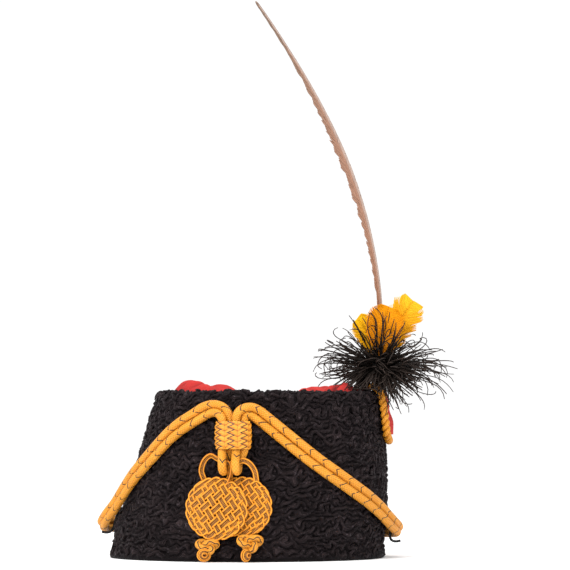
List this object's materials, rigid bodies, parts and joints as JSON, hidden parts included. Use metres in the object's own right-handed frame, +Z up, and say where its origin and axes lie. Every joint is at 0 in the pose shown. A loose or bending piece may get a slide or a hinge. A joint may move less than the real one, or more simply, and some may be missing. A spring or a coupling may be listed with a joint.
{
  "type": "busby",
  "caption": "Slanted fur busby with a red cloth crown and bag, a doubled yellow cap line with slide and flounders, and a side plume.",
  "frame": {"origin": "middle of the whole object's box, on the surface that the base rim stands on", "axes": "+X to the wearer's left, where the bag and plume are; +Y to the back of the head; +Z up"},
  "size_m": [0.276, 0.1998, 0.446],
  "materials": {
    "black_lamb_fur": "tightly curled lamb fur with a soft sheen",
    "red_cloth": "napped wool cloth",
    "twisted_gold_cord": "twisted worsted cord",
    "flecked_gold_cord": "braided worsted cord with thin black fleck lines",
    "plaited_gold_cord": "plaited worsted cord with black fleck lines",
    "gold_gimp": "two round gimp cords with a dark flecked flat braid between",
    "black_wire": "black lacquered wire",
    "black_ostrich": "loose fine barbs",
    "yellow_feather": "dyed feather vane",
    "brown_feather": "tail feather vane"
  },
  "bodies": {
    "root": {"fur_body": "black_lamb_fur", "bag": "red_cloth", "bag_cord": "twisted_gold_cord", "cap_line": "flecked_gold_cord", "slide": "plaited_gold_cord", "flounder_left": "gold_gimp", "flounder_right": "gold_gimp", "tassel_knot_left": "plaited_gold_cord", "tassel_knot_right": "plaited_gold_cord", "tassel_end_left": "gold_gimp", "tassel_end_right": "gold_gimp", "hook_left": "black_wire", "hook_right": "black_wire", "plume_post": "black_wire", "ostrich_tuft": "black_ostrich", "yellow_feather_left": "yellow_feather", "yellow_feather_centre": "yellow_feather", "yellow_feather_right": "yellow_feather", "tail_quill": "brown_feather"}
  },
  "joints": []
}
